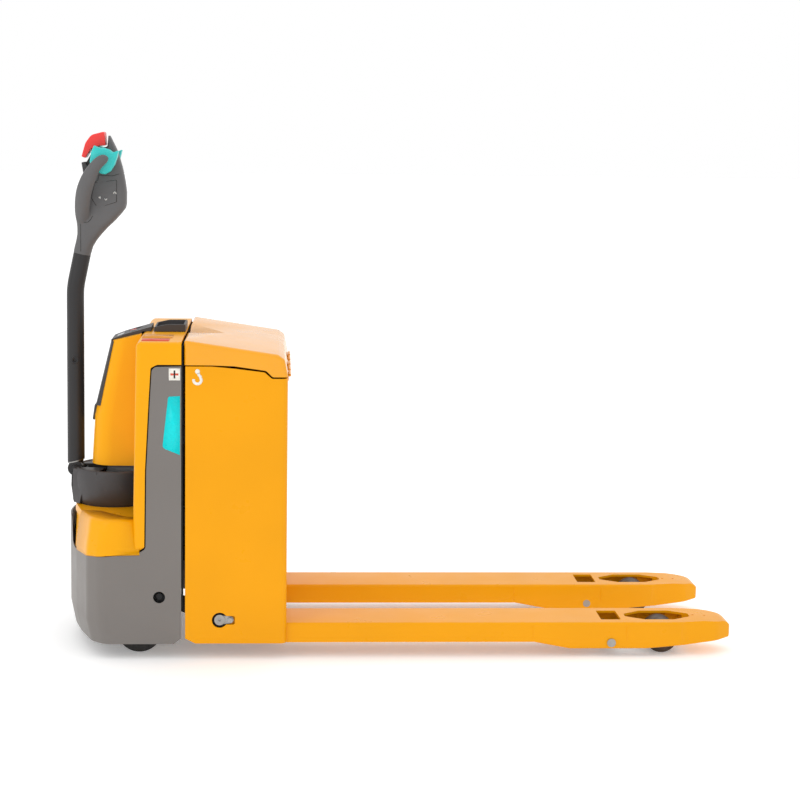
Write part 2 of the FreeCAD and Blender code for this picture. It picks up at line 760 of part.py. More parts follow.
def console_controls():
    """Emergency stop, key switch and charge display let into the console."""
    mushroom = outline((0, 0), (9, 0), (9, 4), (16, 4, 1), (16, 9, 3), (0, 13))
    x, y = stop_place()
    node(turned("emergency_stop", mushroom, x, y, 792))
    x, y = key_place()
    barrel = upright("key_barrel", 10.5, 15, x, y, 787.8)
    blade = block("key_blade", x - 9, x + 9, y - 1.5, y + 1.5, 802, 808)
    node(fuse("key", barrel, blade))
    screen = outline((-732.8, 788.5), (-732.8, 789.6), (-715.2, 796.4), (-715.2, 795.3))
    node(prism("charge_display", "XZ_Plane", [screen], 0, "43.6"))


def chassis():
    """Welded frame: upright plate, turret plate, castor plates and the webs that join them."""
    steer = size("steer_x")
    pin_x, pin_z = size("chassis_pin_x"), size("chassis_pin_z")
    pieces = [
        block("mast_plate", -628, -620, -248, 248, 138, 720),
        turret_plate(),
        block("cylinder_shelf", -620, -554, -40, 40, 256, 268),
    ]
    for side_sign in (1, -1):
        low, high = sorted((side_sign * 145, side_sign * 262))
        pieces.append(block(f"castor_plate_{side_sign}", -716, -628, low, high, 138, 146))
        low, high = sorted((side_sign * 145, side_sign * 151))
        pieces.append(block(f"web_{side_sign}", -716, -628, low, high, 138, 226))
        low, high = sorted((side_sign * 264, side_sign * 270))
        pieces.append(block(f"cheek_{side_sign}", -716, -558, low, high, 138, 240))
        low, high = sorted((side_sign * 248, side_sign * 264))
        pieces.append(block(f"cheek_web_{side_sign}", -716, -708, low, high, 138, 240))
        low, high = sorted((side_sign * 150, side_sign * 264))
        pieces.append(block(f"cross_web_{side_sign}", -716, -710, low, high, 146, 238))
        low, high = sorted((side_sign * 200, side_sign * 212))
        pieces.append(block(f"guide_rail_{side_sign}", -620, -580, low, high, 290, 710))
    slot = rectangle(pin_x - 22, pin_z - 9, pin_x + 10, pin_z + 9, 8.9)
    slots = prism("pin_slots", "XZ_Plane", [slot], 0, "600")
    hole = upright("turret_hole", 95.5, 30, steer, 0, 220)
    neck_room = upright("neck_room", size("neck_radius") + 3, 110, steer, 0, 346)
    castor_holes = [
        upright(f"castor_hole_{s}", 10.06, 30, castor_axis(), s * size("castor_y"), 130) for s in (1, -1)
    ]
    node(cut("chassis_frame", fuse("chassis_blank", *pieces), slots, hole, neck_room, *castor_holes))


def turret_plate():
    """Plate under the steering bearing, with its front corners cut back behind the apron."""
    corners = outline((-628, -150), (-628, 150), (-800, 150), (-838, 60), (-838, -60), (-800, -150))
    return prism("turret_plate", "XY_Plane", [corners], 232, "12")


def castor_axis():
    return size("castor_x") - size("castor_trail")


def castor(name, side_sign):
    """Swivelling support castor: fork with kingpin, and wheel on its axle."""
    y = side_sign * size("castor_y")
    x = size("castor_x")
    radius = size("castor_radius")
    axis = castor_axis()
    crown = block(f"{name}_crown", axis - 26, x + 16, y - 26, y + 26, 119, 127)
    legs = []
    for offset in (-24, 24):
        side = outline(
            (axis - 26, 119), (x + 16, 119), (x + 15, radius - 13, 12), (x - 15, radius - 13, 12),
        )
        leg = prism(f"{name}_leg_{offset}", "XZ_Plane", [side], 0, "4")
        leg.Placement = at(y=y + offset)
        legs.append(leg)
    kingpin = upright(f"{name}_kingpin", 10, 26, axis, y, 127)
    nut = prism(f"{name}_nut", "XY_Plane", [hexagon(16)], 152, "8")
    nut.Placement = at(axis, y, 0)
    axle = cross_rod(f"{name}_axle", 6, 54, x, y, radius)
    node(fuse(f"{name}_fork", crown, *legs, kingpin, nut, axle))
    wheel = prism(f"{name}_wheel", "XZ_Plane", [circle(x, radius, radius)], 0, "Sizes.castor_width")
    fillet(wheel, 5, lambda e: e.Length > 300)
    wheel_bore = circle(x, radius, 6.06)
    dish = circle(x, radius, 38)
    pocket(wheel, "XZ_Plane", [wheel_bore], 0, "60")
    pocket(wheel, "XZ_Plane", [dish], 18, "12")
    pocket(wheel, "XZ_Plane", [dish], -18, "12")
    wheel.Placement = at(y=y)
    node(wheel)


def hexagon(radius):
    corners = [math.radians(60 * i) for i in range(6)]
    return outline(*[(radius * math.cos(a), radius * math.sin(a)) for a in corners])


def bearing_rings():
    """Outer ring of the steering bearing and the swivel bearings of the two castors."""
    x = size("steer_x")
    ring = upright("steering_ring", 95.5, 14, x, 0, 225)
    bore = upright("steering_ring_bore", 78, 20, x, 0, 222)
    rings = [cut("steering_ring_outer", ring, bore)]
    for side_sign in (1, -1):
        y = side_sign * size("castor_y")
        ring = upright(f"castor_ring_{side_sign}", 24, 9, castor_axis(), y, 128.5)
        bore = upright(f"castor_ring_bore_{side_sign}", 10.06, 20, castor_axis(), y, 125)
        rings.append(cut(f"castor_bearing_{side_sign}", ring, bore))
    node(group("bearing_rings", *rings))


def hydraulics():
    """Hydraulic unit on the left of the drive, with electrical gear on the right."""
    tank = prism("hydraulic_tank", "XY_Plane", [rectangle(-706, 158, -642, 244, 8)], 215, "90")
    motor = upright("pump_motor", 30, 80, -674, 200, 260)
    node(fuse("hydraulic_unit", tank, motor))
    heatsink = prism("motor_controller", "XZ_Plane", [rectangle(-655, 500, -629, 690, 2)], 0, "150")
    fins = [rectangle(-656, 506 + 14 * i, -640, 512 + 14 * i) for i in range(13)]
    pocket(heatsink, "XZ_Plane", fins, 0, "160")
    heatsink.Placement = at(y=165)
    node(heatsink)
    bell = outline((0, 0), (30, 0), (30, 6, 2), (22, 16, 4), (22, 26), (0, 26))
    horn = turned("horn", bell, -674, -200, 165)
    node(horn)


# -------------------------------------------------------------- drive turret

def turret():
    """Gearbox, steering ring, motor and brake that turn together about the steering axis."""
    x = size("steer_x")
    radius = size("drive_radius")
    inner = upright("ring_inner", 77.7, 14, x, 0, 225)
    column = upright("gearbox_column", 60, 30, x, 0, 217)
    flange = upright("gearbox_flange", 74, 8, x, 0, 239.5)
    side = outline((x - 36, 228), (x + 36, 228), (x + 40, radius - 30, 34), (x - 40, radius - 30, 34))
    leg = prism("gearbox_leg", "XZ_Plane", [side], 54, "28")
    bridge = block("gearbox_bridge", x - 36, x + 36, 0, 68, 218, 228)
    stub = cross_rod("gearbox_stub", 14, 66, x, 7, radius)
    node(fuse("drive_gearbox", inner, column, flange, leg, bridge, stub))
    can = outline((0, 0), (68, 0), (68, 118, 6), (52, 132, 6), (0, 132))
    motor = turned("drive_motor", can, x, 0, 247.6)
    grooves = [rectangle(64, 14 + 12 * i, 70, 19 + 12 * i) for i in range(8)]
    cooling = body_groove(motor, grooves)
    node(cooling)
    node(turned("parking_brake", outline((0, 0), (44, 0), (44, 40, 4), (0, 40)), x, 0, 379.8))


def body_groove(body, loops):
    feature = body.newObject("PartDesign::Groove", body.Name + "_groove")
    feature.Profile = sketch(body, "XZ_Plane", loops)
    feature.ReferenceAxis = (feature.Profile[0], ["V_Axis"])
    feature.Angle = 360
    body.Tip = feature
    return body


def drive_wheel():
    """Drive wheel: tyre pressed on a dished hub."""
    x = size("steer_x")
    radius = size("drive_radius")
    tyre = prism("drive_tyre", "XZ_Plane", [circle(x, radius, radius)], 0, "Sizes.drive_width")
    fillet(tyre, 5, lambda e: e.Length > 500)
    pocket(tyre, "XZ_Plane", [circle(x, radius, 72)], 0, "80")
    node(tyre)
    hub = cross_rod("drive_hub_disc", 72, 58, x, 0, radius)
    bore = cross_rod("drive_hub_bore", 14.06, 80, x, 0, radius)
    nuts = []
    for index in range(5):
        turn = math.radians(72 * index)
        px = x + 45 * math.cos(turn)
        pz = radius + 45 * math.sin(turn)
        nuts.append(cross_rod(f"drive_nut_{index}", 8, 4, px, -31, pz))
    node(cut("drive_hub", fuse("drive_hub_blank", hub, *nuts), bore))


def neck():
    """Dark round neck cover, and the tiller's pivot housing that sticks out of its front."""
    x = size("steer_x")
    radius = size("neck_radius")
    shell = outline(
        (0, 439), (radius - 12, 439), (radius - 12, 443, 2), (radius, 446, 3), (radius + 1, 400, 100),
        (radius - 1, 356), (radius - 6, 356), (radius - 5, 434), (0, 434),
    )
    bowl = turned("neck_bowl", shell, x, 0, 0)
    slot = block("neck_tiller_slot", -880, -812, -40.2, 40.2, 340, 460)
    node(cut("neck_cover", bowl, slot))
    pivot = (size("tiller_x"), size("tiller_pivot_z"))
    housing = new_body("housing_block")
    side = outline(
        (-812.2, 356.5), (-846, 356.5, 4), (-848, 376, 8), (-851, 398, 10), (-850, 428, 6),
        (-832, 448, 10), (-812.2, 438),
    )
    pad(housing, "XZ_Plane", [side], 0, "80")
    well = outline((-880, 414), (-838, 414, 6), (-815, 434, 8), (-815, 470), (-880, 470))
    pocket(housing, "XZ_Plane", [well], 0, "47.4")
    tongue = block("housing_tongue", -813, x + 40, -30, 30, 420.2, 430)
    pin = cross_rod("tiller_pivot_pin", 8, 70, pivot[0], 0, pivot[1])
    node(fuse("tiller_housing", housing, tongue, pin))


# -------------------------------------------------------------------- tiller

def tiller():
    """Bent tube with its knuckle at the foot and the collar of the head at the top."""
    x = size("tiller_x")
    z = size("tiller_pivot_z")
    radius = size("tube_radius")
    barrel = cross_rod("knuckle_barrel", 20, 46.6, x, 0, z)
    socket = upright("knuckle_socket", 19, 40, x, 0, z)
    above = outline((x - 30, 448.2), (x + 30, 463.2), (x + 30, 500), (x - 30, 500))
    trim = prism("knuckle_trim", "XZ_Plane", [above], 0, "80")
    bore = cross_rod("knuckle_bore", 8.05, 60, x, 0, z)
    node(cut("tiller_knuckle", fuse("knuckle_blank", barrel, socket), trim, bore))
    ring = upright("foot_ring_blank", radius, 60, x, 0, 440)
    lower = outline((x - 30, 430), (x + 30, 430), (x + 30, 463.4), (x - 30, 448.4))
    upper = outline((x - 30, 451.2), (x + 30, 466.2), (x + 30, 520), (x - 30, 520))
    below = prism("foot_ring_below", "XZ_Plane", [lower], 0, "80")
    above = prism("foot_ring_above", "XZ_Plane", [upper], 0, "80")
    node(cut("tiller_foot_ring", ring, below, above))
    spine = Part.Wire([
        Part.LineSegment(Vector(x, 0, 440), Vector(x, 0, 895)).toShape(),
        Part.Arc(Vector(x, 0, 895), Vector(x + 1, 0, 915), Vector(x + 4, 0, 935)).toShape(),
        Part.LineSegment(Vector(x + 4, 0, 935), Vector(x + 18, 0, 1003)).toShape(),
    ])
    profile = Part.Wire(Part.Circle(Vector(x, 0, 440), Vector(0, 0, 1), radius).toShape())
    bore_profile = Part.Wire(Part.Circle(Vector(x, 0, 440), Vector(0, 0, 1), radius - 3).toShape())
    tube = doc.addObject("Part::Feature", "tiller_tube_full")
    bore = spine.makePipeShell([bore_profile], True, False)
    tube.Shape = spine.makePipeShell([profile], True, False).cut(bore)
    below = outline((x - 40, 430), (x + 40, 430), (x + 40, 468.9), (x - 40, 448.9))
    foot = prism("tube_foot", "XZ_Plane", [below], 0, "80")
    plug_hole = cross_rod("tube_plug_hole", 9.6, 10, x, -20, 726)
    node(cut("tiller_tube", tube, foot, plug_hole))


def head():
    """Moulded grip head with its button panel, buttons and side arms."""
    half = size("head_half")
    body = new_body("tiller_head")
    side = outline(
        (-847, 1013, 3), (-800, 1004.5, 3), (-791, 1035, 30), (-733, 1094, 60), (-708, 1125, 20),
        (-707, 1165, 80), (-720, 1238, 80), (-730, 1271, 10), (-748, 1313, 3), (-755, 1311, 3),
        (-758, 1282, 4), (-795, 1266, 16), (-811, 1238, 12), (-828, 1190, 60), (-838, 1106, 60),
        (-835, 1058, 30),
    )
    pad(body, "XZ_Plane", [side], 0, "2 * Sizes.head_half")
    fillet(body, 2.5, lambda e: abs(abs(e.CenterOfMass.y) - half) < 1)
    panel_hole = panel_outline(0)
    pocket(body, "XZ_Plane", [panel_hole], -half, "12")
    node(body)
    panel = prism("button_panel", "XZ_Plane", [panel_outline(1)], -half + 1.9, "4")
    buttons = [circle(x, z, 6.4) for x, z in button_places()]
    pocket(panel, "XZ_Plane", buttons, -half + 1.9, "12")
    node(panel)
    for name, (x, z) in zip(("lift_button", "lower_button", "horn_button"), button_places()):
        node(cross_rod(name, 6, 4.4, x, 0.6 - half, z))
    node(head_arm("head_arm_left", 1))
    node(head_arm("head_arm_right", -1))


def button_places():
    return ((-736, 1164), (-759, 1148), (-775, 1152))


def panel_outline(inset):
    return outline(
        (-766, 1203 - inset, 3), (-723 - inset, 1192 - inset, 6), (-724 - inset, 1136 + inset, 5),
        (-770, 1122 + inset, 5), (-788 + inset, 1148, 8), (-777 + inset, 1186, 4),
    )


def head_arm(label, side_sign):
    """Grip arm that leaves the head low down and sweeps up to the travel switch's shaft."""
    start = size("head_half")
    points = [
        Vector(-820, side_sign * start, 1090), Vector(-820, side_sign * 56, 1130),
        Vector(-811, side_sign * 76, 1178), Vector(-790, side_sign * 86, 1220),
        Vector(size("switch_x"), side_sign * 90, size("switch_z") + 4),
    ]
    curve = Part.BSplineCurve()
    curve.interpolate(points)
    spine = Part.Wire(curve.toShape())
    first = curve.tangent(curve.FirstParameter)[0]
    last = curve.tangent(curve.LastParameter)[0]
    rings = [
        Part.Wire(Part.Circle(points[0], first, 18).toShape()),
        Part.Wire(Part.Circle(points[-1], last, 14).toShape()),
    ]
    pipe = spine.makePipeShell(rings, True, False)
    cap = Part.makeSphere(14, points[-1])
    root = Part.makeSphere(18, points[0])
    inside = Part.makeBox(200, 2 * start, 400, Vector(-920, -start, 1000))
    foot = Vector(size("switch_x"), side_sign * start, size("switch_z"))
    shaft = Part.makeCylinder(6, 50, foot, Vector(0, side_sign, 0))
    arm = doc.addObject("Part::Feature", label)
    arm.Shape = pipe.fuse([cap, root]).cut(inside).fuse(shaft)
    return arm


def switches():
    """Teal travel switch with a wing on each side of the head, and the red belly switch."""
    x, z = size("switch_x"), size("switch_z")
    wings = []
    for side_sign in (1, -1):
        wing = new_body(f"travel_wing_{side_sign}")
        side = outline(
            (x - 25, z + 40, 3), (x - 12, z + 34, 14), (x + 14, z + 29, 14), (x + 39, z + 28, 3),
            (x + 34, z - 10, 26), (x + 6, z - 38, 26), (x - 22, z - 33, 18), (x - 38, z - 4, 18),
        )
        pad(wing, "XZ_Plane", [side], 0, "36")
        fillet(wing, 5, lambda e: abs(abs(e.CenterOfMass.y) - 18) < 1 and e.CenterOfMass.z < z + 20)
        pocket(wing, "XZ_Plane", [circle(x, z, 6.06)], 0, "50")
        wing.Placement = at(y=side_sign * 54)
        wings.append(wing)
    node(group("travel_switch", *wings))
    belly = new_body("belly_switch")
    side = outline(
        (-763, 1322, 5), (-797, 1313, 22), (-812, 1292, 22), (-822, 1257, 3),
        (-812, 1253, 3), (-798, 1276, 12), (-780, 1284, 12), (-760, 1286, 3),
    )
    pad(belly, "XZ_Plane", [side], 0, "58")
    fillet(belly, 2, lambda e: abs(abs(e.CenterOfMass.y) - 29) < 1)
    node(belly)


def build():
    battery_box()
    fork("fork_left", 1)
    fork("fork_right", -1)
    battery_lid()
    lid_hinge()
    battery()
    rocker_shaft()
    rocker_pins()
    for name, side_sign in (("left", 1), ("right", -1)):
        push_rod(f"push_rod_{name}", side_sign)
        wheel_yoke(f"wheel_yoke_{name}", side_sign)
        load_wheel(f"load_wheel_{name}", side_sign)
        castor(f"castor_{name}", side_sign)
    yoke_pins()
    bearing_rings()
    lift_cylinder()
    guide_shoes()
    apron()
    hood()
    nose()
    console()
    console_controls()
    chassis()
    hydraulics()
    turret()
    drive_wheel()
    neck()
    tiller()
    head()
    switches()


def check_and_write():
    """Refuse failed or empty sub-parts, then write each one to its own file."""
    doc.recompute()
    failures = [item.Label for item in doc.Objects if {"Invalid", "Error"} & set(item.State)]
    for item in NODES:
        shape = item.Shape
        if shape.isNull() or not shape.isValid() or not shape.Solids:
            failures.append(item.Label + " has no valid solid")
    names = [item.Label for item in NODES]
    failures += [name + " is used twice" for name in set(names) if names.count(name) > 1]
    if failures:
        raise RuntimeError("; ".join(failures))
    os.makedirs("parts", exist_ok=True)
    for item in NODES:
        item.Shape.exportStep(f"parts/{item.Label}.step")
        box = item.Shape.BoundBox
        print(
            f"{item.Label:22s} x {box.XMin:8.1f} {box.XMax:8.1f}  y {box.YMin:7.1f} {box.YMax:7.1f}"
            f"  z {box.ZMin:7.1f} {box.ZMax:7.1f}  volume {item.Shape.Volume / 1000:9.1f}"
            f"  solids {len(item.Shape.Solids)}"
        )
    print(len(NODES), "sub-parts")


build()
check_and_write()
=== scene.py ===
import bmesh
import bpy
import json
import math
from mathutils import Matrix, Vector


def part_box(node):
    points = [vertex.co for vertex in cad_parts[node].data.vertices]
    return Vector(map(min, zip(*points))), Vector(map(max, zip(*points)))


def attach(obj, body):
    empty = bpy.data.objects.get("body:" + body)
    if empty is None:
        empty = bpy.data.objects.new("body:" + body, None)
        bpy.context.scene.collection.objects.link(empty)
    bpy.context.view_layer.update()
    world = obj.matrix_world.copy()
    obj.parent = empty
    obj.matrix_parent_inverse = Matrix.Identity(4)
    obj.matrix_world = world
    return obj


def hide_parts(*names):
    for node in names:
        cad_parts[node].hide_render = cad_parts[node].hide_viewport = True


# Electric pallet truck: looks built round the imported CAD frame. The scene is in metres, with +X along the
# forks, -Y towards the viewer and +Z up. Outlines are drawn in millimetres, and add_piece scales them.

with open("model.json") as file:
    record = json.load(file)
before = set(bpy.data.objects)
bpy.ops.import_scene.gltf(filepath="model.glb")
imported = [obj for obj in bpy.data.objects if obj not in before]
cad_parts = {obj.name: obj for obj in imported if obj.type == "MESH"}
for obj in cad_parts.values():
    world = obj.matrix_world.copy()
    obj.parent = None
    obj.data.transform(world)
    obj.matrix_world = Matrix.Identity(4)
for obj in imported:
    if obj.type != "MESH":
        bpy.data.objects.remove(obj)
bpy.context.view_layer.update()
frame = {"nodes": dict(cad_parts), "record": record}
NODES = frame["nodes"]


# ------------------------------------------------------------------ materials

class Finish:
    """A Principled material whose textures are read in the truck's own metres."""

    def __init__(self, name, **sockets):
        self.material = bpy.data.materials.new(name)
        self.material.use_nodes = True
        self.tree = self.material.node_tree
        self.shader = self.tree.nodes["Principled BSDF"]
        self.place = self.tree.nodes.new("ShaderNodeTexCoord").outputs["Object"]
        for socket, number in sockets.items():
            self.shader.inputs[socket.replace("_", " ")].default_value = number

    def add(self, kind, links=(), **settings):
        made = self.tree.nodes.new(kind)
        for key, number in settings.items():
            setattr(made, key, number)
        for socket, source in dict(links).items():
            if isinstance(source, bpy.types.NodeSocket):
                self.tree.links.new(source, made.inputs[socket])
            else:
                made.inputs[socket].default_value = source
        return made

    def stretched(self, x, y, z):
        links = {"Vector": self.place, "Scale": (x, y, z)}
        return self.add("ShaderNodeMapping", links).outputs["Vector"]

    def noise(self, scale, detail=3.0, place=None, roughness=0.5):
        links = {"Vector": place or self.place, "Scale": scale, "Detail": detail, "Roughness": roughness}
        return self.add("ShaderNodeTexNoise", links).outputs["Fac"]

    def cells(self, scale):
        return self.add("ShaderNodeTexVoronoi", {"Vector": self.place, "Scale": scale}).outputs["Distance"]

    def spread(self, source, low, high, start, end):
        links = {"Value": source, "From Min": low, "From Max": high, "To Min": start, "To Max": end}
        return self.add("ShaderNodeMapRange", links).outputs["Result"]

    def mixed(self, factor, first, second):
        """Blend of two colours, each a node's output or three numbers."""
        ends = [end if isinstance(end, bpy.types.NodeSocket) else (*end, 1.0) for end in (first, second)]
        made = self.add("ShaderNodeMix", {0: factor, 6: ends[0], 7: ends[1]}, data_type="RGBA")
        return made.outputs[2]

    def relief(self, *layers):
        """Bump layers, each a height, a strength and a distance in metres."""
        normal = None
        for height, strength, distance in layers:
            links = {"Height": height, "Strength": strength, "Distance": distance}
            if normal:
                links["Normal"] = normal
            normal = self.add("ShaderNodeBump", links).outputs["Normal"]
        self.tree.links.new(normal, self.shader.inputs["Normal"])

    def drive(self, socket, source):
        self.tree.links.new(source, self.shader.inputs[socket])


def tint(colour, factor):
    return tuple(min(1.0, channel * factor) for channel in colour)


def powder_coat(name, colour, roughness=0.3, peel=1.0, coat=0.0, gloss=0.25):
    """Stoved coat: orange peel, slow drift in tone and a few dust specks."""
    finish = Finish(name, Coat_Weight=coat, Coat_Roughness=0.16, IOR=1.5, Specular_IOR_Level=gloss)
    drift = finish.spread(finish.noise(4.0, 2.0), 0.3, 0.7, 0.0, 1.0)
    base = finish.mixed(drift, tint(colour, 0.965), tint(colour, 1.03))
    specks = finish.spread(finish.noise(900.0, 1.0), 0.79, 0.84, 0.0, 0.3)
    finish.drive("Base Color", finish.mixed(specks, base, tint(colour, 0.7)))
    rough = finish.spread(finish.noise(14.0, 4.0), 0.3, 0.7, roughness - 0.035, roughness + 0.045)
    finish.drive("Roughness", rough)
    finish.relief(
        (finish.noise(210.0, 2.0), 0.10 * peel, 0.0006),
        (finish.noise(1100.0, 1.0), 0.06 * peel, 0.0002),
    )
    return finish.material


def moulding(name, colour, roughness=0.42, grain=1.0, coat=0.0, gloss=0.3):
    """Injection-moulded plastic: fine leathery grain and faint flow marks."""
    finish = Finish(name, IOR=1.48, Coat_Weight=coat, Coat_Roughness=0.2, Specular_IOR_Level=gloss)
    drift = finish.spread(finish.noise(9.0, 3.0), 0.3, 0.7, 0.0, 1.0)
    base = finish.mixed(drift, tint(colour, 0.93), tint(colour, 1.06))
    dust = finish.spread(finish.noise(60.0, 5.0, roughness=0.7), 0.56, 0.8, 0.0, 0.12)
    finish.drive("Base Color", finish.mixed(dust, base, tuple(0.6 * c + 0.12 for c in colour)))
    rough = finish.spread(finish.noise(40.0, 4.0), 0.3, 0.7, roughness - 0.05, roughness + 0.06)
    finish.drive("Roughness", rough)
    leather = (finish.cells(1500.0), 0.16 * grain, 0.0003)
    finish.relief(leather, (finish.noise(180.0, 2.0), 0.08 * grain, 0.0004))
    return finish.material


def bare_metal(name, colour, roughness=0.3, lines=(40.0, 900.0, 40.0)):
    """Plated or ground steel with fine lines and a little staining."""
    finish = Finish(name, Metallic=1.0)
    stain = finish.spread(finish.noise(55.0, 5.0), 0.45, 0.75, 0.0, 0.5)
    finish.drive("Base Color", finish.mixed(stain, colour, tint(colour, 0.72)))
    brushed = finish.noise(1.0, 3.0, finish.stretched(*lines))
    finish.drive("Roughness", finish.spread(brushed, 0.3, 0.7, roughness - 0.07, roughness + 0.1))
    finish.relief((brushed, 0.12, 0.0002), (finish.noise(600.0, 2.0), 0.05, 0.0002))
    return finish.material


def casting(name, colour):
    """Sand-cast housing under thin paint."""
    finish = Finish(name, Specular_IOR_Level=0.4)
    mottled = finish.spread(finish.noise(70.0, 6.0), 0.35, 0.7, 0.0, 1.0)
    finish.drive("Base Color", finish.mixed(mottled, tint(colour, 0.8), tint(colour, 1.25)))
    finish.drive("Roughness", finish.spread(finish.noise(300.0, 3.0), 0.3, 0.7, 0.48, 0.66))
    finish.relief((finish.noise(420.0, 5.0), 0.4, 0.0008), (finish.cells(900.0), 0.15, 0.0004))
    return finish.material


def elastomer(name, colour, worn, roughness=0.55):
    """Tyre material: scuffed running surface and mould-release bloom."""
    finish = Finish(name, Specular_IOR_Level=0.35)
    scuffed = finish.spread(finish.noise(38.0, 6.0, roughness=0.65), 0.4, 0.72, 0.0, 1.0)
    finish.drive("Base Color", finish.mixed(scuffed, colour, worn))
    rough = finish.spread(finish.noise(90.0, 4.0), 0.3, 0.7, roughness - 0.08, roughness + 0.12)
    finish.drive("Roughness", rough)
    finish.relief((finish.noise(700.0, 3.0), 0.25, 0.0004), (finish.noise(120.0, 4.0), 0.12, 0.0006))
    return finish.material


def film(name, colour):
    """Printed vinyl: slightly uneven ink, a soft clear coat and a fine ripple."""
    finish = Finish(name, Coat_Weight=0.1, Coat_Roughness=0.12, Specular_IOR_Level=0.2)
    ink = finish.spread(finish.noise(160.0, 4.0), 0.3, 0.7, 0.0, 1.0)
    finish.drive("Base Color", finish.mixed(ink, tint(colour, 0.95), tint(colour, 1.04)))
    finish.drive("Roughness", finish.spread(finish.noise(60.0, 3.0), 0.3, 0.7, 0.25, 0.38))
    finish.relief((finish.noise(90.0, 2.0), 0.05, 0.0005), (finish.noise(1500.0, 1.0), 0.04, 0.0001))
    return finish.material


YELLOW = (0.83, 0.345, 0.0015)

LOOKS = {
    "yellow_paint": powder_coat("yellow_paint_look", YELLOW, 0.3, gloss=0.16),
    # The lid's yellow is lifted 2% over the box's as a painted highlight for the paler sheen on its top; its
    # lower roughness, finer peel, clear coat and higher gloss are real.
    "lid_paint": powder_coat("lid_paint_look", tint(YELLOW, 1.02), 0.17, 0.5, coat=0.16, gloss=0.45),
    "yellow_plastic": powder_coat("yellow_plastic_look", (0.86, 0.375, 0.002), 0.3, 0.8, gloss=0.16),
    "grey_paint": powder_coat("grey_paint_look", (0.186, 0.17, 0.158), 0.4, 1.3, gloss=0.3),
    "black_paint": powder_coat("black_paint_look", (0.014, 0.014, 0.015), 0.42, 1.4),
    "dark_paint": powder_coat("dark_paint_look", (0.022, 0.021, 0.022), 0.44, 2.2, gloss=0.35),
    "dark_plastic": moulding("dark_plastic_look", (0.046, 0.042, 0.043), 0.48, gloss=0.5),
    "head_plastic": moulding("head_plastic_look", (0.112, 0.11, 0.112), 0.5),
    "teal_plastic": moulding("teal_plastic_look", (0.035, 0.55, 0.53), 0.36, 0.5, coat=0.1),
    "red_plastic": moulding("red_plastic_look", (0.86, 0.05, 0.045), 0.36, 0.5, coat=0.1),
    "display_plastic": moulding("display_plastic_look", (0.012, 0.014, 0.016), 0.16, 0.15, coat=0.6),
    "battery_plastic": moulding("battery_plastic_look", (0.035, 0.036, 0.042), 0.5),
    "connector_plastic": moulding("connector_plastic_look", (0.33, 0.33, 0.31), 0.45),
    "bright_steel": bare_metal("bright_steel_look", (0.36, 0.355, 0.34), 0.34),
    "chrome": bare_metal("chrome_look", (0.55, 0.55, 0.56), 0.16, (900.0, 900.0, 12.0)),
    "aluminium": bare_metal("aluminium_look", (0.72, 0.73, 0.75), 0.36, (900.0, 60.0, 60.0)),
    "cast_housing": casting("cast_housing_look", (0.1, 0.1, 0.102)),
    "polyurethane": elastomer("polyurethane_look", (0.05, 0.028, 0.015), (0.12, 0.085, 0.06)),
    "black_rubber": elastomer("black_rubber_look", (0.014, 0.013, 0.012), (0.05, 0.047, 0.044), 0.6),
    "teal_film": film("teal_film_look", (0.0, 0.66, 0.68)),
    "white_film": film("white_film_look", (0.86, 0.83, 0.76)),
    "pale_film": film("pale_film_look", (0.6, 0.6, 0.58)),
    "red_film": film("red_film_look", (0.7, 0.09, 0.05)),
    "amber_film": film("amber_film_look", (0.72, 0.3, 0.03)),
    "black_film": film("black_film_look", (0.02, 0.02, 0.02)),
    # Its near-black also serves as painted shade in the rings behind the rocker's keeper tabs.
    "foam": elastomer("foam_look", (0.006, 0.006, 0.006), (0.014, 0.013, 0.012), 0.85),
}


def dress(piece, look):
    piece.data.materials.clear()
    piece.data.materials.append(LOOKS[look])


def dress_nodes():
    slots = {entry["node"]: entry["material_slot"] for entry in frame["record"]["subparts"]}
    slots["battery_lid"] = "lid_paint"
    for name, piece in NODES.items():
        dress(piece, slots[name])


# How far a node's hard edges are rolled over, in metres.
SOFT_EDGES = {
    "battery_box": 0.0014, "battery_lid": 0.002, "fork_left": 0.002, "fork_right": 0.002, "hood": 0.003,
    "nose": 0.0025, "console": 0.002, "storage_tray": 0.0015, "apron": 0.001, "tiller_housing": 0.002,
    "console_strip": 0.0012, "belly_switch": 0.003, "rocker_pins": 0.0008,
}


def roll_edges(piece, width, angle):
    bevel = piece.modifiers.new("roll", "BEVEL")
    bevel.width = width
    bevel.segments = 3
    bevel.limit_method = "ANGLE"
    bevel.angle_limit = math.radians(angle)
    bevel.harden_normals = True
    for polygon in piece.data.polygons:
        polygon.use_smooth = True
    return bevel


def soften(name, width):
    """Joins a CAD node's triangles into flats and rolls its hard edges over, all with modifiers."""
    piece = NODES[name]
    own_normals = piece.data.attributes.get("custom_normal")
    if own_normals:
        piece.data.attributes.remove(own_normals)
    weld = piece.modifiers.new("weld", "WELD")
    weld.merge_threshold = 0.00002
    flat = piece.modifiers.new("flat", "DECIMATE")
    flat.decimate_type = "DISSOLVE"
    flat.angle_limit = math.radians(0.6)
    roll_edges(piece, width, 34.0).miter_outer = "MITER_ARC"


# --------------------------------------------------------------- mesh helpers

MM = 0.001
SIDES = (("near", -1), ("far", 1))


def box_face(node, corner, axis):
    """One face of a node's box, in millimetres; corner 0 is the low one and 1 the high one."""
    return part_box(node)[corner][axis] / MM


def layer(side, inner, outer):
    """Low and high Y of a layer on one side of the truck."""
    return sorted((side * inner, side * outer))


